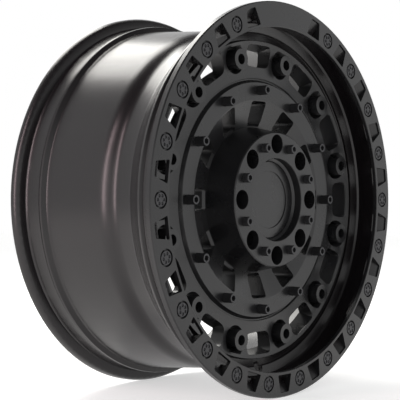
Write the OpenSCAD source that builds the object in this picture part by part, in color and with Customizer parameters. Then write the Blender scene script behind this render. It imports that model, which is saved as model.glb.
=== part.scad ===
// Cast alloy road wheel for a heavy pickup, 22 inch rim, eight studs.
// The wheel stands upright and spins about the Y axis, with its show face towards -Y.
// Every depth is measured back from the front face of the ring, along the axle.

/* [Barrel] */
// Outside diameter over the rim flanges
flange_d = 598.6; // [590:0.2:606]
// Width over both flanges
overall_w = 284; // [276:1:300]
// Height of a flange above its tyre bead seat
flange_h = 17.5; // [15.5:0.1:19]
// Width of each bead seat, from flange to hump
bead_w = 22; // [18:0.5:25]
// How far a hump stands above its seat
hump_h = 1.8; // [1:0.1:2.6]
// Thickness of the outer flange at its foot
flange_t = 14; // [12:0.5:16]
// How far below the bead seats the drum lies where it meets the well's back slope
drum_drop = 15.6; // [13:0.1:18]
// How far below the bead seats the drum lies in front of the rear hump
drum_back_drop = 7.8; // [5:0.1:10]
// How far below the bead seats the well floor lies
well_drop = 25.8; // [23:0.1:29]
// Depth at which the well floor begins
well_front = 77; // [74:0.5:82]
// Depth at which the well floor ends
well_back = 101; // [97:0.5:107]
// Length of the slope from the well floor up to the drum
well_slope = 32; // [26:1:40]
// Wall thickness of the barrel
wall = 6.5; // [6:0.25:8]

/* [Front ring] */
// How far the front ring overhangs the throat inwards
ring_lip = 11.3; // [9:0.1:14]
// Thickness of the front ring where it overhangs the barrel
ring_t = 6; // [5:0.25:8]
// Wall between the throat and the front bead seat
throat_t = 9.8; // [9:0.1:12]
// Places around the ring, of which the top one is a bare pad
ring_places = 22; // [20:2:24]
// Metal between a window and the ring's inner edge
window_in_rim = 4.3; // [2.5:0.1:6]
// Metal between a window and the ring's outer edge
window_out_rim = 7.3; // [6:0.1:10]
// Length of a window's inner side
window_long = 33; // [28:0.5:36]
// Length of a window's outer side
window_short = 21; // [16:0.5:24]
// Depth of the sloping pocket where it opens into the throat
pocket_depth = 15; // [12:0.5:18]
// Depth of a ring window's sloping floor at its outer end
window_floor = 3.4; // [2.5:0.1:5]
// Distance of the circle of ring bolts from the ring's outer edge
lip_bolt_in = 21.5; // [20:0.1:23]
// Head diameter of a ring bolt
lip_head_d = 20; // [18:0.2:22]

/* [Spoked ring] */
// Diameter over the ring's land
land_d = 489.4; // [486:0.2:492]
// Depth of the land at its outer edge
land_depth = 46.5; // [44:0.25:50]
// How much deeper the land is at its inner edge
land_dish = 3.9; // [2:0.1:6]
// How much deeper than that the land is at its lowest
land_hollow = 1.7; // [0.5:0.1:3]
// Thickness of the disc behind the land
disc_t = 24; // [20:0.5:28]
// Windows and bosses around the ring
ring_count = 12; // [10:2:12]
// Inner diameter that the ring windows reach
slot_in_d = 408; // [404:1:416]
// Outer diameter that the ring windows reach
slot_out_d = 477; // [468:1:480]
// Length of a ring window around the wheel
slot_len = 61; // [52:0.5:63]
// Corner radius of a ring window
slot_corner = 12; // [4:0.5:14]
// How far the inner and outer walls of a land window lean in towards the back
slot_lean = 5.5; // [0:0.25:8]
// Diameter of the circle of hollow bosses
boss_circle_d = 437.2; // [434:0.2:440]
// Outside diameter of a hollow boss
boss_d = 31; // [28:0.25:33]
// Diameter of the hole in a hollow boss
boss_hole_d = 16; // [12:0.25:19]
// Diameter of the sunk ring round a hollow boss
boss_well_d = 37; // [36:0.25:40]
// Depth of a hollow boss's face
boss_depth = 38.6; // [34:0.2:44]
// How deep the sunk ring round a boss is, below the land
boss_well_depth = 11; // [8:0.5:14]

/* [Plate and dish] */
// Diameter of the inner plate
plate_d = 362.6; // [359:0.2:366]
// Width of the groove round the plate
plate_gap = 5; // [2.5:0.1:6]
// How far the plate stands above the land beside it
plate_h = 3.2; // [1.5:0.1:5]
// Diameter at which the plate turns down into the dish
dish_d = 308.8; // [304:0.2:312]
// How much deeper the plate is where the dish begins
plate_fall = 0.8; // [0.3:0.1:3]
// Depth of the dish at the foot of the hub
dish_depth = 62.4; // [60:0.2:66]
// Diameter of the circle of plate bolts
plate_circle_d = 337.2; // [334:0.2:340]
// Head diameter of a plate bolt
plate_head_d = 14.4; // [12:0.2:16]
// Height of a plate bolt's head
plate_head_h = 16.9; // [10:0.1:20]
// Inner diameter that the dish windows reach
dish_slot_in_d = 234.8; // [233:0.2:240]
// Diameter at which the sloping ledge inside a dish window starts
ledge_d = 227.2; // [226:0.2:230]
// Depth of that ledge where it starts
ledge_depth = 61.9; // [60:0.1:63]
// How steeply that ledge falls outwards
ledge_slope = 39; // [25:1:50]
// Outer diameter that the dish windows reach
dish_slot_out_d = 304; // [300:0.5:308]
// Width of a dish window at its outer end
dish_slot_w = 36; // [28:0.5:40]
// Corner radius of a dish window
dish_slot_corner = 6; // [3:0.25:8]

/* [Hub] */
// Diameter of the hub's face
hub_d = 206; // [204:0.5:212]
// Depth of the hub's face
hub_depth = 14.5; // [10:0.25:20]
// Diameter of the hub at its foot
hub_foot_d = 225; // [218:0.5:226]
// Depth of the mounting face
mount_depth = 120; // [114:0.5:130]
// Diameter of the mounting pad
pad_d = 224; // [218:0.5:230]
// Number of studs
stud_count = 8; // [8:1:8]
// Diameter of the stud circle
stud_circle_d = 170; // [165:0.1:172]
// Diameter of a stud hole
stud_hole_d = 16; // [14.5:0.1:18]
// Diameter of the pocket that takes a wheel nut
nut_pocket_d = 29; // [27:0.25:31]
// Metal left between the nut's seat and the mounting face
nut_seat_t = 22; // [18:0.5:30]
// Diameter of the circle of hub bolts
hub_circle_d = 167.8; // [164:0.2:170]
// Head diameter of a hub bolt
hub_head_d = 14; // [11:0.2:15]
// Height of a hub bolt's head
hub_head_h = 9.2; // [5:0.1:11]
// Diameter of the hub bore
bore_d = 125.1; // [120:0.1:127]
// Diameter of the recess's mouth in the hub's face
mouth_d = 128; // [126:0.5:132]
// Diameter of the pocket that takes the cap
cap_seat_d = 119; // [116:0.5:121]
// Depth of the shoulder that the cap rests on
cap_seat_depth = 34; // [32:0.25:36]
// Diameter of the hole that the cap's fingers grip
cap_grip_d = 108; // [104:0.5:112]
// Depth at which the hub bore ends
bore_end_depth = 50; // [48:0.5:56]

/* [Centre cap] */
// Height of the cap's rim above its seat
cap_h = 4.5; // [3.5:0.1:6]
// Diameter of the cap's sunk middle
cap_middle_d = 87.6; // [80:0.2:96]
// How deep the cap's middle is sunk
cap_sink = 1.5; // [0.6:0.1:2.2]
// Number of gripping fingers
finger_count = 8; // [6:1:10]
// Wall thickness of a finger
finger_t = 2.6; // [2:0.1:3.2]
// Wire diameter of the spring ring
wire_d = 2.4; // [2:0.1:2.8]

/* [Valve hole] */
// Diameter of the valve hole
valve_d = 11.5; // [11.3:0.1:16]
// Tilt of the valve hole from the axle
valve_tilt = 34; // [28:1:40]
// Metal left round the valve hole
valve_t = 4; // [3.5:0.1:5]

/* [Fits] */
// Side clearance of a bolt's shank in its hole
shank_gap = 0.2; // [0.1:0.05:0.4]
// Clearance round the cap in its pocket
cap_gap = 0.3; // [0.15:0.05:0.5]

/* [Hidden] */

// Facets of a large turning, of a bore and of a small round
fine = 180;
mid = 64;
small = 32;
// Overshoot that lets a cut clear the face it starts from
over = 1;
// Chamfer on cast edges
edge = 0.8;

// The barrel and the front ring follow the flange
flange_r = flange_d / 2;
bead_r = flange_r - flange_h;
drum_r = bead_r - drum_drop;
drum_back_r = bead_r - drum_back_drop;
well_r = bead_r - well_drop;
throat_r = bead_r - throat_t;
ring_r = throat_r - ring_lip;
window_in_r = ring_r + window_in_rim;
window_out_r = flange_r - window_out_rim;
lip_circle_r = flange_r - lip_bolt_in;
land_r = land_d / 2;
plate_r = plate_d / 2;
land_in_r = plate_r + plate_gap;
slot_in_r = slot_in_d / 2;
dish_r = dish_d / 2;
hub_r = hub_d / 2;
hub_foot_r = hub_foot_d / 2;
pad_r = pad_d / 2;
bore_r = bore_d / 2;

// Depths of the land, the plate and the back of the disc
land_in_depth = land_depth + land_dish;
plate_depth = land_in_depth - plate_h;
dish_top_depth = plate_depth + plate_fall;
disc_back = land_in_depth + disc_t;
groove_depth = land_in_depth + 2.4;
land_low_depth = land_in_depth + land_hollow;
boss_floor_depth = land_low_depth + boss_well_depth;

// Bead seats fall by 5 degrees from flange to hump
seat_fall = bead_w * tan(5);
seat_low_r = bead_r - seat_fall;
hump_r = seat_low_r + hump_h + 1.2;
seat_front = flange_t + 5;
hump_front = seat_front + bead_w - 6;
back_seat = overall_w - flange_t - 5;
hump_back = back_seat - bead_w;

// Cone between the throat and the sunk channel outside the land
band_out_r = throat_r - 2;
band_out_depth = land_depth - 0.8;
band_in_r = land_r + 13.4;
band_in_depth = land_depth + 4.3;
channel_depth = land_depth + 9;

// Radius at which a window's shallow floor drops off towards the throat
pocket_r = throat_r + 9;

// Angles of the ring's windows and bolts, with the bare pad at the top
ring_pitch = 360 / ring_places;
window_angles = [for (k = [1 : ring_places - 1]) 90 + k * ring_pitch];
lip_bolt_angles = [for (k = [1 : ring_places - 2]) 90 + (k + 0.5) * ring_pitch];
slot_angles = [for (k = [0 : ring_count - 1]) k * 360 / ring_count];
boss_angles = [for (k = [0 : ring_count - 1]) (k + 0.5) * 360 / ring_count];
stud_angles = [for (k = [0 : stud_count - 1]) k * 360 / stud_count];
hub_bolt_angles = [for (k = [0 : stud_count - 1]) (k + 0.5) * 360 / stud_count];

// Fastener sizes that the holes share
lip_head_h = 3.4;
lip_gap = 2.5;
lip_shank_d = 8;
lip_shank_l = 8;
plate_shank_d = 8;
plate_shank_l = 14;
hub_shank_d = 7;
hub_shank_l = 14;
plate_spot_gap = 0.6;
plate_spot_depth = plate_depth
    + plate_fall * (plate_r - plate_circle_d / 2) / (plate_r - dish_r) + 0.9;

// Nut seat: a 60 degree cone between the pocket and the stud hole
seat_cone_d = stud_hole_d + 8;
nut_floor_depth = mount_depth - nut_seat_t;
seat_cone_h = (seat_cone_d - stud_hole_d) / 2 / tan(30);

// Cap fingers, the groove they snap into and the ring that spreads them
finger_r = cap_grip_d / 2 - cap_gap;
finger_in_r = finger_r - finger_t;
finger_end_depth = bore_end_depth - 2;
snap_depth = (cap_seat_depth + bore_end_depth) / 2 + 2;
snap_h = 3;
snap_out = 1.2;

// Places a child given along the wheel's own axle, front face at height 0
module on_axle() {
    rotate([90, 0, 0]) translate([0, 0, overall_w / 2]) children();
}

// Copies a child to a radius at each of some angles
module around(radius, angles) {
    for (a = angles) rotate([0, 0, a]) translate([radius, 0, 0]) children();
}

// A drill of one diameter between two depths
module drill(d, top, bottom, facets = small) {
    translate([0, 0, -bottom]) cylinder(d = d, h = bottom - top, $fn = facets);
}

// A point of a turned outline, from a radius and a depth
function p(r, depth) = [r, -depth];

// The point that lies a distance along the way from one point to another
function toward(from, to, dist) = from + (to - from) * dist / norm(to - from);

// An outline with each corner rounded by a short curve through the corner's tangents
function rounded(pts, r, steps = 4) = [
    for (i = [0 : len(pts) - 1])
        let (n = len(pts), c = pts[i],
             a = toward(c, pts[(i + n - 1) % n], r), b = toward(c, pts[(i + 1) % n], r))
        for (j = [0 : steps])
            let (t = j / steps)
            (1 - t) * (1 - t) * a + 2 * t * (1 - t) * c + t * t * b
];

// A hole with straight sides, its inner and outer ends at two radii
module window_column(in_r, out_r, in_half, out_half, corner, top, bottom) {
    translate([0, 0, -bottom]) linear_extrude(bottom - top)
        polygon(rounded([[in_r, -in_half], [out_r, -out_half],
                         [out_r, out_half], [in_r, in_half]], corner));
}

// Section of the casting: hub, dish, plate, land, ring, barrel and back, in turn
hub_section = [
    p(cap_grip_d / 2, bore_end_depth), p(cap_grip_d / 2, cap_seat_depth),
    p(cap_seat_d / 2, cap_seat_depth), p(cap_seat_d / 2, cap_seat_depth - 4),
    p(mouth_d / 2 - edge, cap_seat_depth - 7), p(mouth_d / 2 - edge, hub_depth + edge),
    p(mouth_d / 2, hub_depth),
    p(hub_r - 1.5, hub_depth), p(hub_r, hub_depth + 1.5),
    p(hub_foot_r, dish_depth),
];
face_section = [
    p(dish_r - 1, dish_top_depth + 0.35), p(dish_r + 0.6, dish_top_depth),
    p(plate_r - edge, plate_depth), p(plate_r, plate_depth + edge),
    p(plate_r + 3.2, groove_depth), p(land_in_r, groove_depth),
    p(land_in_r, land_in_depth + edge), p(land_in_r + edge, land_in_depth),
    p(slot_in_r - 8, land_low_depth - 0.4), p(slot_in_r + 2, land_low_depth),
    p(slot_in_r + 12, land_low_depth - 0.3), p(land_r - 19, land_low_depth - 1.6),
    p(land_r - 9, land_depth + 2.6), p(land_r - edge, land_depth), p(land_r, land_depth + edge),
    p(land_r + 1.2, channel_depth), p(band_in_r - 0.8, channel_depth),
    p(band_in_r, channel_depth - 1), p(band_in_r, band_in_depth), p(band_out_r, band_out_depth),
    p(throat_r, band_out_depth - 3), p(throat_r, ring_t),
    p(ring_r, ring_t), p(ring_r, edge), p(ring_r + edge, 0),
];

// The well's back slope in plan: how far along it each point lies, and how far up
slope_points = [[0.14, 0.06], [0.27, 0.19], [0.39, 0.39], [0.52, 0.61], [0.66, 0.78], [0.81, 0.91]];
slope_rise = drum_r - well_r;

outer_section = [
    p(flange_r - 1.5, 0), p(flange_r, 1.5), p(flange_r, flange_t - 5),
    p(flange_r - 2.5, flange_t - 2), p(bead_r + 6, flange_t),
    p(bead_r + 1.6, flange_t + 2), p(bead_r, seat_front),
    p(seat_low_r, hump_front - 3), p(hump_r, hump_front), p(hump_r, hump_front + 2.5),
    p(hump_r - 1.6, hump_front + 6), p(well_r + 2, well_front - 2), p(well_r, well_front + 3),
    p(well_r, well_back),
    for (q = slope_points) p(well_r + q[1] * slope_rise, well_back + q[0] * well_slope),
    p(drum_r, well_back + well_slope), p(drum_back_r, hump_back - 17),
    p(drum_back_r + 1.5, hump_back - 13),
    p(hump_r - 0.6, hump_back - 9), p(hump_r, hump_back - 6), p(seat_low_r, hump_back - 1),
    p(bead_r, back_seat - 2), p(bead_r + 2, back_seat + 1.5),
    p(flange_r - 7, overall_w - 16), p(flange_r - 2.5, overall_w - 13),
    p(flange_r, overall_w - 8), p(flange_r, overall_w - 3), p(flange_r - 2, overall_w),
];
inner_section = [
    p(flange_r - 8, overall_w), p(flange_r - 10, overall_w - 5),
    p(bead_r + 2, overall_w - 9), p(bead_r - wall, overall_w - 13),
    p(bead_r - wall - 1.5, overall_w - 16), p(bead_r - wall - 1.5, hump_back - 4),
    p(drum_back_r - wall, hump_back - 14), p(drum_r - wall, well_back + well_slope + 1),
    for (k = [len(slope_points) - 1 : -1 : 0])
        p(well_r - wall + slope_points[k][1] * slope_rise,
          well_back + 2 + slope_points[k][0] * well_slope),
    p(well_r - wall, well_back + 2), p(well_r - wall, disc_back + 4),
    p(well_r - wall - 4, disc_back), p(land_in_r + 6, disc_back), p(plate_r - 8, disc_back + 5),
    p(dish_r + 4, disc_back + 14), p(dish_r - 14, disc_back + 18),
    p(pad_r + 9, disc_back + 23), p(pad_r + 2, disc_back + 28),
    p(pad_r, mount_depth - 12), p(pad_r, mount_depth - 1.5), p(pad_r - 1.5, mount_depth),
    p(bore_r + 2, mount_depth), p(bore_r, mount_depth - 2), p(bore_r, bore_end_depth),
];

// The whole turned form of the casting, before it is drilled and pierced
module turned_form() {
    rotate_extrude($fn = fine)
        polygon(concat(hub_section, face_section, outer_section, inner_section));
}

// Trapezoid windows of the front ring, with pockets that slope down into the throat
module ring_windows() {
    intersection() {
        for (a = window_angles) rotate([0, 0, a])
            window_column(window_in_r, window_out_r, window_long / 2,
                          window_short / 2, 2.5, -over, pocket_depth + 4);
        rotate_extrude($fn = fine) polygon([
            p(ring_r - 5, -2 * over), p(flange_r, -2 * over), p(flange_r, window_floor - 2),
            p(window_out_r, window_floor), p(pocket_r, window_floor + 6),
            p(throat_r + 2, pocket_depth - 1), p(throat_r - 1, pocket_depth),
            p(ring_r - 5, pocket_depth)]);
    }
}

// Long windows through the spoked ring, and the sunk rings round its hollow bosses
module land_windows() {
    slot_out_r = slot_out_d / 2;
    intersection() {
        for (a = slot_angles) rotate([0, 0, a])
            window_column(slot_in_r, slot_out_r, slot_len / 2 - 3, slot_len / 2,
                          slot_corner, land_depth - 5, disc_back + 5);
        rotate_extrude($fn = fine) polygon([
            p(slot_in_r - 2, land_depth - 6), p(slot_out_r + 2, land_depth - 6),
            p(slot_out_r + 2, land_depth + 1), p(slot_out_r, land_depth + 3),
            p(slot_out_r - slot_lean, disc_back), p(slot_out_r - slot_lean, disc_back + 6),
            p(slot_in_r + slot_lean, disc_back + 6), p(slot_in_r + slot_lean, disc_back),
            p(slot_in_r, land_low_depth + 2), p(slot_in_r - 2, land_low_depth + 0.5)]);
    }
}

// Windows of the dish, each with a ledge left at its inner end that slopes down outwards
module dish_windows() {
    half = dish_slot_w / 2;
    for (a = slot_angles) rotate([0, 0, a]) {
        window_column(dish_slot_in_d / 2, dish_slot_out_d / 2, half - 2, half,
                      dish_slot_corner, dish_top_depth - 6, disc_back + 40);
        translate([ledge_d / 2, 0, -ledge_depth]) rotate([0, ledge_slope, 0])
            window_column(0, 15, half - 3.5, half - 3, 2, -18, 0);
    }
}

// Stud holes with their conical nut seats and deep nut pockets
module stud_holes() {
    around(stud_circle_d / 2, stud_angles) {
        drill(stud_hole_d, nut_floor_depth, mount_depth + over, mid);
        translate([0, 0, -nut_floor_depth - seat_cone_h])
            cylinder(d1 = stud_hole_d, d2 = seat_cone_d, h = seat_cone_h, $fn = mid);
        drill(nut_pocket_d, hub_depth - over, nut_floor_depth, mid);
    }
}

// Blind hollows in the back of the pad between the studs, which save weight
module pad_hollows() {
    around(stud_circle_d / 2 + 1, hub_bolt_angles) {
        drill(24, mount_depth - 72, mount_depth + over);
        translate([0, 0, -mount_depth + 72]) cylinder(d1 = 24, d2 = 14, h = 4, $fn = small);
    }
}

// Valve hole at the bottom, square to a flat on each side of the wall
module valve_hole() {
    rotate([0, 0, 270]) translate([band_in_r, 0, -band_in_depth]) rotate([0, -valve_tilt, 0]) {
        translate([0, 0, -30]) cylinder(d = valve_d, h = 60, $fn = mid);
        translate([0, 0, -1.5]) cylinder(d = valve_d + 7, h = 22, $fn = mid);
        translate([0, 0, -1.5 - valve_t - 22]) cylinder(d = valve_d + 12, h = 22, $fn = mid);
    }
}

module wheel_casting() {
    color("#3b3b3d") on_axle() difference() {
        union() {
            difference() {
                turned_form();
                around(boss_circle_d / 2, boss_angles) {
                    drill(boss_well_d, land_depth - 4, boss_floor_depth, mid);
                    translate([0, 0, -land_low_depth - 4])
                        cylinder(d1 = boss_well_d, d2 = boss_well_d + 12, h = 8, $fn = mid);
                }
            }
            around(boss_circle_d / 2, boss_angles)
                drill(boss_d, boss_depth, boss_floor_depth + 2, mid);
        }
        around(boss_circle_d / 2, boss_angles)
            drill(boss_hole_d, boss_depth - over, disc_back - 5);
        ring_windows();
        land_windows();
        dish_windows();
        stud_holes();
        pad_hollows();
        valve_hole();
        around(lip_circle_r, lip_bolt_angles) {
            drill(lip_head_d + 2 * lip_gap, -over, lip_head_h);
            drill(lip_shank_d + 2 * shank_gap, 0, lip_head_h + lip_shank_l + 0.5);
        }
        around(plate_circle_d / 2, slot_angles) {
            drill(plate_head_d + 2 * plate_spot_gap, plate_depth - 4, plate_spot_depth);
            drill(plate_shank_d + 2 * shank_gap, plate_depth, plate_spot_depth + plate_shank_l + 1);
        }
        around(hub_circle_d / 2, hub_bolt_angles)
            drill(hub_shank_d + 2 * shank_gap, hub_depth - over, hub_depth + hub_shank_l + 1);
        translate([0, 0, -snap_depth - snap_h])
            cylinder(d = cap_grip_d + 2 * snap_out, h = 2 * snap_h, $fn = fine);
    }
}

// Pressed-in cap: a rimmed disc on a crown of springy fingers
module centre_cap() {
    cap_r = cap_seat_d / 2 - cap_gap;
    top = cap_seat_depth - cap_h;
    color("#414143") on_axle() difference() {
        union() {
            rotate_extrude($fn = fine) polygon([
                p(0, cap_seat_depth), p(0, top + cap_sink), p(cap_middle_d / 2, top + cap_sink),
                p(cap_middle_d / 2, top + 0.3), p(cap_middle_d / 2 + 0.4, top),
                p(cap_r - 1.2, top), p(cap_r, top + 1.2), p(cap_r, cap_seat_depth)]);
            rotate_extrude($fn = fine) polygon([
                p(finger_in_r, cap_seat_depth - 1), p(finger_r, cap_seat_depth - 1),
                p(finger_r, snap_depth - 2), p(finger_r + snap_out, snap_depth - 0.6),
                p(finger_r + snap_out, snap_depth + 0.6), p(finger_r - 0.8, finger_end_depth),
                p(finger_in_r, finger_end_depth)]);
        }
        for (k = [0 : finger_count - 1]) rotate([0, 0, k * 360 / finger_count])
            translate([finger_in_r - 3, -4, -finger_end_depth - over])
                cube([finger_t + 8, 8, finger_end_depth - cap_seat_depth - 1 + over]);
        translate([0, 0, -snap_depth]) rotate_extrude($fn = fine)
            translate([finger_in_r - wire_d / 2 + 0.9, 0]) circle(d = wire_d + 0.2, $fn = small);
    }
}

// Sprung wire ring that pushes the cap's fingers outwards
module cap_ring() {
    color("#9a9a9c") on_axle() translate([0, 0, -snap_depth])
        rotate([0, 0, 96]) rotate_extrude(angle = 348, $fn = fine)
            translate([finger_in_r - wire_d / 2 + 0.9, 0]) circle(d = wire_d, $fn = small);
}

// A socket bolt seated at one depth, its head standing out towards the front
module socket_bolt(head_d, head_h, shank_d, shank_l, key_d) {
    difference() {
        union() {
            cylinder(d = head_d, h = head_h - 0.6, $fn = mid);
            translate([0, 0, head_h - 0.6])
                cylinder(d1 = head_d, d2 = head_d - 1.2, h = 0.6, $fn = mid);
            translate([0, 0, -shank_l]) cylinder(d = shank_d, h = shank_l + 0.5, $fn = small);
        }
        translate([0, 0, head_h * 0.45]) cylinder(d = key_d, h = head_h, $fn = 6);
    }
}

// Flat bolts sunk flush in the front ring, with six shallow hollows in each head
module lip_bolts() {
    color("#454547") on_axle() around(lip_circle_r, lip_bolt_angles)
        translate([0, 0, -lip_head_h]) difference() {
            union() {
                cylinder(d = lip_head_d, h = lip_head_h - 0.5, $fn = mid);
                translate([0, 0, lip_head_h - 0.5])
                    cylinder(d1 = lip_head_d, d2 = lip_head_d - 1, h = 0.5, $fn = mid);
                translate([0, 0, -lip_shank_l])
                    cylinder(d = lip_shank_d, h = lip_shank_l + 0.5, $fn = small);
            }
            for (k = [0 : 5]) rotate([0, 0, 60 * k])
                translate([lip_head_d * 0.3, 0, lip_head_h - 1.4])
                    cylinder(d = lip_head_d * 0.235, h = over + 1.4, $fn = small);
        }
}

// Tall socket bolts round the inner plate
module plate_bolts() {
    color("#454547") on_axle() around(plate_circle_d / 2, slot_angles)
        translate([0, 0, -plate_spot_depth])
            socket_bolt(plate_head_d, plate_head_h, plate_shank_d, plate_shank_l,
                        plate_head_d * 0.56);
}

// Short socket bolts between the wheel nuts
module hub_bolts() {
    color("#454547") on_axle() around(hub_circle_d / 2, hub_bolt_angles)
        translate([0, 0, -hub_depth])
            socket_bolt(hub_head_d, hub_head_h, hub_shank_d, hub_shank_l, hub_head_d * 0.54);
}

wheel_casting();
centre_cap();
cap_ring();
lip_bolts();
plate_bolts();
hub_bolts();
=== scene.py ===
import math
import bpy
import bmesh
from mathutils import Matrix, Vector


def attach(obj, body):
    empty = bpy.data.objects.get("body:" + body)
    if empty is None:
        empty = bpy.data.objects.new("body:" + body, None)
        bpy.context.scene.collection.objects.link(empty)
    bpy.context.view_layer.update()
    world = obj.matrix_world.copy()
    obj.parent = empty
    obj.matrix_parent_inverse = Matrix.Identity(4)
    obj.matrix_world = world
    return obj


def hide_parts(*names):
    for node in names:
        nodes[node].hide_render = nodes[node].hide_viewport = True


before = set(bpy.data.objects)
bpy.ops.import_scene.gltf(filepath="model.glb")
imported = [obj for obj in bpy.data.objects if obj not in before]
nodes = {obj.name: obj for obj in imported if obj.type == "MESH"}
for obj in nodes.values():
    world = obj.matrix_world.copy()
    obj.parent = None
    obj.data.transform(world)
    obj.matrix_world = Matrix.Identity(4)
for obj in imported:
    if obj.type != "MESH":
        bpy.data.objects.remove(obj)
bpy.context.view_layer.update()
scene = bpy.context.scene

# The casting: rim barrel, front ring, spoked ring, plate, dish and hub in one piece of
# A356 aluminium, cast in a permanent mould. Its seats and barrel are turned on a lathe,
# its edges are broken by blasting, and the whole is sprayed satin black.


def linear(hex_colour):
    parts = [int(hex_colour[i:i + 2], 16) / 255 for i in (1, 3, 5)]
    return [c / 12.92 if c <= 0.04045 else ((c + 0.055) / 1.055) ** 2.4 for c in parts] + [1.0]


def add(tree, kind, inputs=(), **settings):
    made = tree.nodes.new(kind)
    for name, value in settings.items():
        setattr(made, name, value)
    for key, value in dict(inputs).items():
        if isinstance(value, bpy.types.NodeSocket):
            tree.links.new(value, made.inputs[key])
        else:
            made.inputs[key].default_value = value
    return made


def new_finish(name):
    material = bpy.data.materials.new(name)
    material.use_nodes = True
    tree = material.node_tree
    shader = tree.nodes["Principled BSDF"]
    place = add(tree, "ShaderNodeTexCoord").outputs["Object"]
    return material, tree, shader, place


def finish_surface(source, name, edge_break, corner_angle=30):
    weld, flat, sharp = 2e-6, math.radians(0.4), math.radians(40)
    piece = bpy.data.objects.new(name, source.data.copy())
    scene.collection.objects.link(piece)
    piece.data.materials.clear()
    form = bmesh.new()
    form.from_mesh(piece.data)
    bmesh.ops.remove_doubles(form, verts=form.verts, dist=weld)
    bmesh.ops.dissolve_limit(form, angle_limit=flat, verts=form.verts, edges=form.edges)
    for edge in form.edges:
        edge.smooth = edge.is_manifold and edge.calc_face_angle() < math.radians(corner_angle)
    for face in form.faces:
        face.smooth = True
    form.to_mesh(piece.data)
    form.free()
    if edge_break:
        bevel = piece.modifiers.new("broken_edges", "BEVEL")
        bevel.width = edge_break
        bevel.segments = 2
        bevel.limit_method = "ANGLE"
        bevel.angle_limit = sharp
        ready = piece.evaluated_get(bpy.context.evaluated_depsgraph_get())
        mesh = bpy.data.meshes.new_from_object(ready)
        piece.modifiers.clear()
        piece.data = mesh
    return piece


# A turned face catches the light as a true round: at each of its corners the normal lies
# in the plane through the axle, and leans as the faces round that corner do on average.
def true_rounds(mesh, corner_angle=30):
    skew = 0.02
    leans, around = {}, [[] for _ in mesh.vertices]
    for face in mesh.polygons:
        angle = math.atan2(face.center.z, face.center.x)
        outwards = face.normal.x * math.cos(angle) + face.normal.z * math.sin(angle)
        sideways = face.normal.z * math.cos(angle) - face.normal.x * math.sin(angle)
        if abs(sideways) < skew:
            leans[face.index] = (outwards, face.normal.y)
            for corner in face.vertices:
                around[corner].append((outwards, face.normal.y, face.area))
    normals = [corner.vector.copy() for corner in mesh.corner_normals]
    alike = math.cos(math.radians(corner_angle))
    for index, (outwards, along) in leans.items():
        for loop in mesh.polygons[index].loop_indices:
            corner = mesh.loops[loop].vertex_index
            sum_out = sum_along = 0
            for out, axial_part, area in around[corner]:
                if out * outwards + axial_part * along > alike:
                    sum_out += out * area
                    sum_along += axial_part * area
            spot = mesh.vertices[corner].co
            angle = math.atan2(spot.z, spot.x)
            normals[loop] = Vector((sum_out * math.cos(angle), sum_along,
                                    sum_out * math.sin(angle))).normalized()
    mesh.normals_split_custom_set(normals)


# Sprayed satin black enamel: nearly black, and smooth enough to mirror a pale room
# softly. It pulls into a faint orange peel, 1.3 mm across. On the turned barrel it is
# thinner and warmer, and lathe lines show through it: the real ones are 0.3 mm apart and
# are drawn at 2.4 mm, so that they show.
black_enamel, tree, shader, place = new_finish("satin_black_enamel")
radial = add(tree, "ShaderNodeVectorMath", {0: place, 1: (1, 0, 1)}, operation="MULTIPLY")
radius = add(tree, "ShaderNodeVectorMath", {0: radial.outputs[0]}, operation="LENGTH")
axial = add(tree, "ShaderNodeSeparateXYZ", {0: place})

# The turned part lies beyond a radius of 0.24 m and behind the front flange.
outer = add(tree, "ShaderNodeMapRange",
            {"Value": radius.outputs["Value"], "From Min": 0.240, "From Max": 0.250})
behind = add(tree, "ShaderNodeMapRange",
             {"Value": axial.outputs["Y"], "From Min": -0.137, "From Max": -0.131})
turned = add(tree, "ShaderNodeMath", {0: outer.outputs["Result"], 1: behind.outputs["Result"]},
             operation="MULTIPLY").outputs[0]
peel = add(tree, "ShaderNodeTexNoise", {"Vector": place, "Scale": 1 / 0.0013, "Detail": 2})
mist = add(tree, "ShaderNodeTexNoise", {"Vector": place, "Scale": 1 / 0.06, "Detail": 4})
lathe = add(tree, "ShaderNodeTexNoise",
            {"W": axial.outputs["Y"], "Scale": 1 / 0.0024, "Detail": 3}, noise_dimensions="1D")
face_tone = add(tree, "ShaderNodeMix",
                {"Factor": mist.outputs["Fac"], "A": linear("#19191a"), "B": linear("#202022")},
                data_type="RGBA")
tone = add(tree, "ShaderNodeMix",
           {"Factor": turned, "A": face_tone.outputs["Result"], "B": linear("#151214")},
           data_type="RGBA")
tree.links.new(tone.outputs["Result"], shader.inputs["Base Color"])
face_gloss = add(tree, "ShaderNodeMapRange",
                 {"Value": mist.outputs["Fac"], "From Min": 0.3, "From Max": 0.7,
                  "To Min": 0.25, "To Max": 0.31})
gloss = add(tree, "ShaderNodeMix",
            {"Factor": turned, "A": face_gloss.outputs["Result"], "B": 0.27}, data_type="FLOAT")
tree.links.new(gloss.outputs["Result"], shader.inputs["Roughness"])
grain = add(tree, "ShaderNodeMix",
            {"Factor": turned, "A": peel.outputs["Fac"], "B": lathe.outputs["Fac"]},
            data_type="FLOAT")
relief = add(tree, "ShaderNodeBump",
             {"Height": grain.outputs["Result"], "Strength": 0.25, "Distance": 0.00004})
tree.links.new(relief.outputs["Normal"], shader.inputs["Normal"])
shader.inputs["IOR"].default_value = 1.5

casting = finish_surface(nodes["wheel_casting"], "casting_skin", 0.0007)
true_rounds(casting.data)
casting.data.materials.append(black_enamel)
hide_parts("wheel_casting")
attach(casting, "root")

# The centre cap: a press-in cap with eight snap fingers, injection moulded in black ABS.
# Its middle is bare, and it is held by the spring ring inside the fingers.

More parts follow.
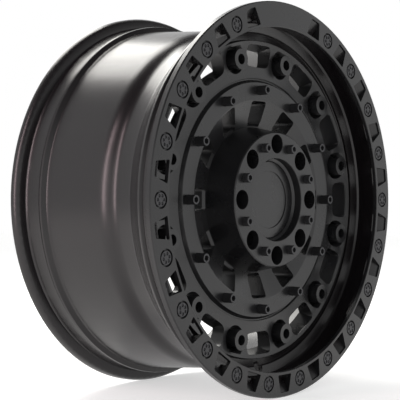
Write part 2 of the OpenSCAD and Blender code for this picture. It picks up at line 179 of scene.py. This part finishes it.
# Black ABS from a spark-eroded mould: as dark as the enamel, a little duller, with a
# fine pebbled skin, real 0.2 mm, drawn at 0.9 mm so that it shows.
cap_abs, tree, shader, place = new_finish("black_moulded_ABS")
pebble = add(tree, "ShaderNodeTexNoise", {"Vector": place, "Scale": 1 / 0.0009, "Detail": 1})
flow = add(tree, "ShaderNodeTexNoise", {"Vector": place, "Scale": 1 / 0.03, "Detail": 3})
tone = add(tree, "ShaderNodeMix",
           {"Factor": flow.outputs["Fac"], "A": linear("#19191a"), "B": linear("#1f1f21")},
           data_type="RGBA")
tree.links.new(tone.outputs["Result"], shader.inputs["Base Color"])
gloss = add(tree, "ShaderNodeMapRange",
            {"Value": flow.outputs["Fac"], "From Min": 0.3, "From Max": 0.7,
             "To Min": 0.22, "To Max": 0.28})
tree.links.new(gloss.outputs["Result"], shader.inputs["Roughness"])
relief = add(tree, "ShaderNodeBump",
             {"Height": pebble.outputs["Fac"], "Strength": 0.3, "Distance": 0.00003})
tree.links.new(relief.outputs["Normal"], shader.inputs["Normal"])
shader.inputs["IOR"].default_value = 1.53

cap = finish_surface(nodes["centre_cap"], "cap_skin", 0.0003)
true_rounds(cap.data)
cap.data.materials.append(cap_abs)
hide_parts("centre_cap")
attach(cap, "root")

# The spring ring: hard drawn steel wire of 2.4 mm, bent round and pressed into the
# cap's fingers from behind, so that they grip the bore.

# Bright drawn wire: a metal with a pale reflection and fine scratches along its length,
# real 0.05 mm, drawn at 0.4 mm.
drawn_wire, tree, shader, place = new_finish("drawn_spring_steel")
along = add(tree, "ShaderNodeMapping", {"Vector": place, "Scale": (1, 6, 1)})
draw = add(tree, "ShaderNodeTexNoise",
           {"Vector": along.outputs["Vector"], "Scale": 1 / 0.0024, "Detail": 3})
tone = add(tree, "ShaderNodeMix",
           {"Factor": draw.outputs["Fac"], "A": linear("#a8a7a5"), "B": linear("#cfcecb")},
           data_type="RGBA")
tree.links.new(tone.outputs["Result"], shader.inputs["Base Color"])
gloss = add(tree, "ShaderNodeMapRange",
            {"Value": draw.outputs["Fac"], "To Min": 0.22, "To Max": 0.4})
tree.links.new(gloss.outputs["Result"], shader.inputs["Roughness"])
shader.inputs["Metallic"].default_value = 1.0

ring = finish_surface(nodes["cap_ring"], "ring_skin", 0)
ring.data.materials.append(drawn_wire)
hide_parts("cap_ring")
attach(ring, "root")

# The lip bolts: low round bolts of forged steel, sunk flush in the front ring, with six
# hollows in each head for a pin key. They are blackened in a hot oxide bath.

# Black oxide on steel: the porous oxide hides part of the metal, so it is dull and dark,
# with cloudy patches about 4 mm wide, and the marks of forging, real 0.3 mm, drawn at 1 mm.
black_oxide, tree, shader, place = new_finish("black_oxide_steel")
cloud = add(tree, "ShaderNodeTexNoise", {"Vector": place, "Scale": 1 / 0.004, "Detail": 3})
pits = add(tree, "ShaderNodeTexNoise", {"Vector": place, "Scale": 1 / 0.001, "Detail": 1})
tone = add(tree, "ShaderNodeMix",
           {"Factor": cloud.outputs["Fac"], "A": linear("#3c3c3e"), "B": linear("#4a4a4c")},
           data_type="RGBA")
tree.links.new(tone.outputs["Result"], shader.inputs["Base Color"])
gloss = add(tree, "ShaderNodeMapRange",
            {"Value": cloud.outputs["Fac"], "From Min": 0.3, "From Max": 0.7,
             "To Min": 0.40, "To Max": 0.50})
tree.links.new(gloss.outputs["Result"], shader.inputs["Roughness"])
relief = add(tree, "ShaderNodeBump",
             {"Height": pits.outputs["Fac"], "Strength": 0.3, "Distance": 0.00003})
tree.links.new(relief.outputs["Normal"], shader.inputs["Normal"])
shader.inputs["Metallic"].default_value = 0.6

lip_bolts = finish_surface(nodes["lip_bolts"], "lip_bolt_skin", 0.0002)
lip_bolts.data.materials.append(black_oxide)
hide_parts("lip_bolts")
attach(lip_bolts, "root")

# The plate bolts: twelve tall socket screws round the plate, cold headed from steel,
# with a grip rolled into the side of each head, and blackened. Each one was tightened
# to its own angle.
socket_screws = bpy.data.node_groups.new("socket_screws", "GeometryNodeTree")
for kind, names in (("Int", ("Count", "Flutes", "Seed")), ("Material", ("Finish",)),
                    ("Float", ("Circle Radius", "First Angle", "Seat Depth", "Head Radius",
                               "Head Height", "Key Radius", "Shank Radius", "Shank Length",
                               "Face Depth"))):
    for name in names:
        socket_screws.interface.new_socket(name, in_out="INPUT", socket_type="NodeSocket" + kind)
socket_screws.interface.new_socket("Screws", in_out="OUTPUT", socket_type="NodeSocketGeometry")
tree = socket_screws
size = add(tree, "NodeGroupInput").outputs
where = add(tree, "GeometryNodeInputPosition").outputs[0]
half = add(tree, "ShaderNodeMath", {0: size["Head Height"], 1: 0.5},
           operation="MULTIPLY").outputs[0]
corners = add(tree, "ShaderNodeMath", {0: size["Flutes"], 1: 2}, operation="MULTIPLY")
blank = add(tree, "GeometryNodeMeshCylinder",
            {"Vertices": corners.outputs[0], "Side Segments": 6, "Radius": size["Head Radius"],
             "Depth": size["Head Height"]})
height = add(tree, "ShaderNodeSeparateXYZ", {0: where})
reach = add(tree, "ShaderNodeMath", {0: height.outputs["Z"], 1: half}, operation="DIVIDE")
press = 0.07
inwards = add(tree, "ShaderNodeVectorMath", {0: where, 1: (-press, -press, 0)},
              operation="MULTIPLY").outputs[0]

# The grip: every other corner of the head is pressed in, up to a plain band at the crown.
rolled = add(tree, "ShaderNodeMath", {0: reach.outputs[0], 1: 0.7}, operation="LESS_THAN")
every_other = add(tree, "ShaderNodeMath",
                  {0: add(tree, "GeometryNodeInputIndex").outputs[0], 1: 2}, operation="MODULO")
flute = add(tree, "ShaderNodeMath", {0: rolled.outputs[0], 1: every_other.outputs[0]},
            operation="MULTIPLY")
grip = add(tree, "GeometryNodeSetPosition",
           {"Geometry": blank.outputs["Mesh"], "Selection": flute.outputs[0], "Offset": inwards})
rim = add(tree, "ShaderNodeMath", {0: reach.outputs[0], 1: 0.95}, operation="GREATER_THAN")
crown = add(tree, "GeometryNodeSetPosition",
            {"Geometry": grip.outputs["Geometry"], "Selection": rim.outputs[0], "Offset": inwards})

# The socket for a hexagon key, half as deep as the head is high.
key = add(tree, "GeometryNodeMeshCylinder",
          {"Vertices": 6, "Radius": size["Key Radius"], "Depth": size["Head Height"]})
key_lift = add(tree, "ShaderNodeMath", {0: half, 1: 0.95}, operation="MULTIPLY")
key_place = add(tree, "ShaderNodeCombineXYZ", {"Z": key_lift.outputs[0]})
key_up = add(tree, "GeometryNodeTransform",
             {"Geometry": key.outputs["Mesh"], "Translation": key_place.outputs[0]})
head = add(tree, "GeometryNodeMeshBoolean",
           {0: crown.outputs["Geometry"], 1: key_up.outputs[0]}, operation="DIFFERENCE")

# The shank, which starts just inside the head.
shank = add(tree, "GeometryNodeMeshCylinder",
            {"Vertices": 24, "Radius": size["Shank Radius"], "Depth": size["Shank Length"]})
long = add(tree, "ShaderNodeMath", {0: size["Head Height"], 1: size["Shank Length"]})
shank_drop = add(tree, "ShaderNodeMath", {0: long.outputs[0], 1: -0.495}, operation="MULTIPLY")
shank_place = add(tree, "ShaderNodeCombineXYZ", {"Z": shank_drop.outputs[0]})
shank_down = add(tree, "GeometryNodeTransform",
                 {"Geometry": shank.outputs["Mesh"], "Translation": shank_place.outputs[0]})
screw = add(tree, "GeometryNodeJoinGeometry", {0: head.outputs["Mesh"]})
tree.links.new(shank_down.outputs[0], screw.inputs[0])

# The screws stand in a circle on their seats, then the circle is turned upright.
circle = add(tree, "GeometryNodeMeshCircle",
             {"Vertices": size["Count"], "Radius": size["Circle Radius"]})
seat = add(tree, "ShaderNodeMath", {0: half, 1: size["Seat Depth"]}, operation="SUBTRACT")
lift = add(tree, "ShaderNodeCombineXYZ", {"Z": seat.outputs[0]})
start = add(tree, "ShaderNodeCombineXYZ", {"Z": size["First Angle"]})
places = add(tree, "GeometryNodeTransform",
             {"Geometry": circle.outputs[0], "Translation": lift.outputs[0],
              "Rotation": start.outputs[0]})
torque = add(tree, "FunctionNodeRandomValue", {"Seed": size["Seed"], 3: math.tau / 6},
             data_type="FLOAT")
turn = add(tree, "ShaderNodeCombineXYZ", {"Z": torque.outputs[1]})
turned_by = add(tree, "FunctionNodeEulerToRotation", {0: turn.outputs[0]})
copies = add(tree, "GeometryNodeInstanceOnPoints",
             {"Points": places.outputs[0], "Instance": screw.outputs[0],
              "Rotation": turned_by.outputs[0]})
to_face = add(tree, "ShaderNodeMath", {0: size["Face Depth"], 1: -1.0}, operation="MULTIPLY")
face = add(tree, "ShaderNodeCombineXYZ", {"Y": to_face.outputs[0]})
upright = add(tree, "GeometryNodeTransform",
              {"Geometry": copies.outputs[0], "Translation": face.outputs[0],
               "Rotation": (math.pi / 2, 0, 0)})
solid = add(tree, "GeometryNodeRealizeInstances", {0: upright.outputs[0]})
coated = add(tree, "GeometryNodeSetMaterial",
             {"Geometry": solid.outputs[0], "Material": size["Finish"]})
add(tree, "NodeGroupOutput", {0: coated.outputs[0]})


def set_screws(name, replaced, sizes):
    piece = bpy.data.objects.new(name, bpy.data.meshes.new(name))
    scene.collection.objects.link(piece)
    maker = piece.modifiers.new("screws", "NODES")
    maker.node_group = socket_screws
    for item in socket_screws.interface.items_tree:
        if item.in_out == "INPUT":
            maker[item.identifier] = sizes[item.name]
    made = piece.evaluated_get(bpy.context.evaluated_depsgraph_get())
    mesh = bpy.data.meshes.new_from_object(made)
    piece.modifiers.clear()
    piece.data = mesh
    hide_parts(replaced)
    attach(piece, "root")
    return piece


half_width = 0.142
set_screws("plate_screws", "plate_bolts", {
    "Count": 12, "Flutes": 30, "Seed": 5, "Finish": black_oxide, "Face Depth": half_width,
    "Circle Radius": 0.16860, "First Angle": 0.0, "Seat Depth": 0.04848,
    "Head Radius": 0.00720, "Head Height": 0.01690, "Key Radius": 0.00460,
    "Shank Radius": 0.004, "Shank Length": 0.014})

# The hub bolts: eight short screws of the same kind between the wheel nuts, which hold
# the hub's face plate.

set_screws("hub_screws", "hub_bolts", {
    "Count": 8, "Flutes": 26, "Seed": 8, "Finish": black_oxide, "Face Depth": half_width,
    "Circle Radius": 0.0839, "First Angle": math.tau / 16, "Seat Depth": 0.0145,
    "Head Radius": 0.0070, "Head Height": 0.0092, "Key Radius": 0.00430,
    "Shank Radius": 0.0035, "Shank Length": 0.014})

# The studio: white paper swept under the wheel, two soft boxes, and a white room whose
# ceiling is dark over the front half, so that the barrel's slopes mirror a dark band.
# The paper is pale enough to show the wheel's shadow where it stands.


def seen_or_mirrored(tree):
    path = add(tree, "ShaderNodeLightPath").outputs
    seen = path["Is Camera Ray"]
    for way_seen in ("Is Glossy Ray", "Is Transmission Ray"):
        seen = add(tree, "ShaderNodeMath", {0: seen, 1: path[way_seen]},
                   operation="MAXIMUM").outputs[0]
    return seen


paper_height, paper_reach = -0.2995, 7
paper_mesh = bpy.data.meshes.new("paper_floor")
paper_mesh.from_pydata([(x * paper_reach, y * paper_reach, paper_height)
                        for x, y in ((-1, -1), (1, -1), (1, 1), (-1, 1))],
                       [], [(0, 1, 2, 3)])
paper_floor = bpy.data.objects.new("paper_floor", paper_mesh)
scene.collection.objects.link(paper_floor)
paper, tree, shader, place = new_finish("matt_white_paper")
fibre = add(tree, "ShaderNodeTexNoise", {"Vector": place, "Scale": 1 / 0.004, "Detail": 3})
tone = add(tree, "ShaderNodeMix",
           {"Factor": fibre.outputs["Fac"], "A": linear("#dededd"), "B": linear("#e3e3e2")},
           data_type="RGBA")
tree.links.new(tone.outputs["Result"], shader.inputs["Base Color"])
shader.inputs["Roughness"].default_value = 0.9
glow = add(tree, "ShaderNodeMath", {0: seen_or_mirrored(tree), 1: 0.55}, operation="MULTIPLY")
shader.inputs["Emission Color"].default_value = linear("#ffffff")
tree.links.new(glow.outputs[0], shader.inputs["Emission Strength"])
paper_mesh.materials.append(paper)

room = bpy.data.worlds.new("white_room")
scene.world = room
room.use_nodes = True
tree = room.node_tree
backdrop = tree.nodes["Background"]
backdrop.inputs["Color"].default_value = linear("#ffffff")
seen = seen_or_mirrored(tree)
walls = add(tree, "ShaderNodeMapRange", {"Value": seen, "To Min": 0.8, "To Max": 1.0})
way = add(tree, "ShaderNodeTexCoord").outputs["Generated"]
way = add(tree, "ShaderNodeSeparateXYZ", {0: way}).outputs

# The ceiling dims towards the zenith. Its front half is dark only where it is mirrored,
# so that the paper stays evenly lit.
ceiling = add(tree, "ShaderNodeMapRange",
              {"Value": way["Z"], "From Min": 0.6, "From Max": 0.9, "To Min": 1.0, "To Max": 0.3})
high = add(tree, "ShaderNodeMapRange", {"Value": way["Z"], "From Min": 0.3, "From Max": 0.5})
forward = add(tree, "ShaderNodeMapRange",
              {"Value": way["Y"], "From Min": 0.35, "From Max": 0.5, "To Min": 1.0, "To Max": 0.0})
unlit = add(tree, "ShaderNodeMath", {0: high.outputs["Result"], 1: forward.outputs["Result"]},
            operation="MULTIPLY")
unlit = add(tree, "ShaderNodeMath", {0: unlit.outputs[0], 1: seen}, operation="MULTIPLY")
front_ceiling = add(tree, "ShaderNodeMapRange",
                    {"Value": unlit.outputs[0], "To Min": 1.0, "To Max": 0.25})
level = add(tree, "ShaderNodeMath",
            {0: walls.outputs["Result"], 1: ceiling.outputs["Result"]}, operation="MULTIPLY")
level = add(tree, "ShaderNodeMath",
            {0: level.outputs[0], 1: front_ceiling.outputs["Result"]}, operation="MULTIPLY")
tree.links.new(level.outputs[0], backdrop.inputs["Strength"])


def hang_softbox(name, width, height, power, tint, place, target):
    light = bpy.data.lights.new(name, "AREA")
    light.shape = "RECTANGLE"
    light.size, light.size_y = width, height
    light.energy = power
    light.color = linear(tint)[:3]
    holder = bpy.data.objects.new(name, light)
    scene.collection.objects.link(holder)
    holder.location = place
    holder.rotation_euler = (Vector(target) - Vector(place)).to_track_quat("-Z", "Y").to_euler()


hang_softbox("rear_softbox", 1.5, 2.0, 66, "#fffdf8", (0.38, 1.72, 2.3), (-0.1, 0.03, 0.2))
hang_softbox("side_softbox", 0.4, 2.6, 28, "#ffe4e8", (-2.45, 0.34, 1.02), (-0.2, 0, 1.02))

# The camera stands 1.77 m from the wheel's face and 49.4 degrees round to its left,
# level with the hub. A long lens draws the wheel with little perspective.

swing = math.radians(49.4038)
distance, offset = 1.76093, 0.12852
aim = Vector((0, -half_width, -0.00054))
right = Vector((math.cos(swing), -math.sin(swing), 0))
back = Vector((-math.sin(swing), -math.cos(swing), 0))
lens = bpy.data.cameras.new("camera")
lens.sensor_width = 36
lens.lens = 104.487
camera = bpy.data.objects.new("camera", lens)
scene.collection.objects.link(camera)
camera.location = aim + back * distance - right * offset
camera.rotation_euler = (-back).to_track_quat("-Z", "Y").to_euler()
scene.camera = camera
scene.view_settings.view_transform = "Standard"
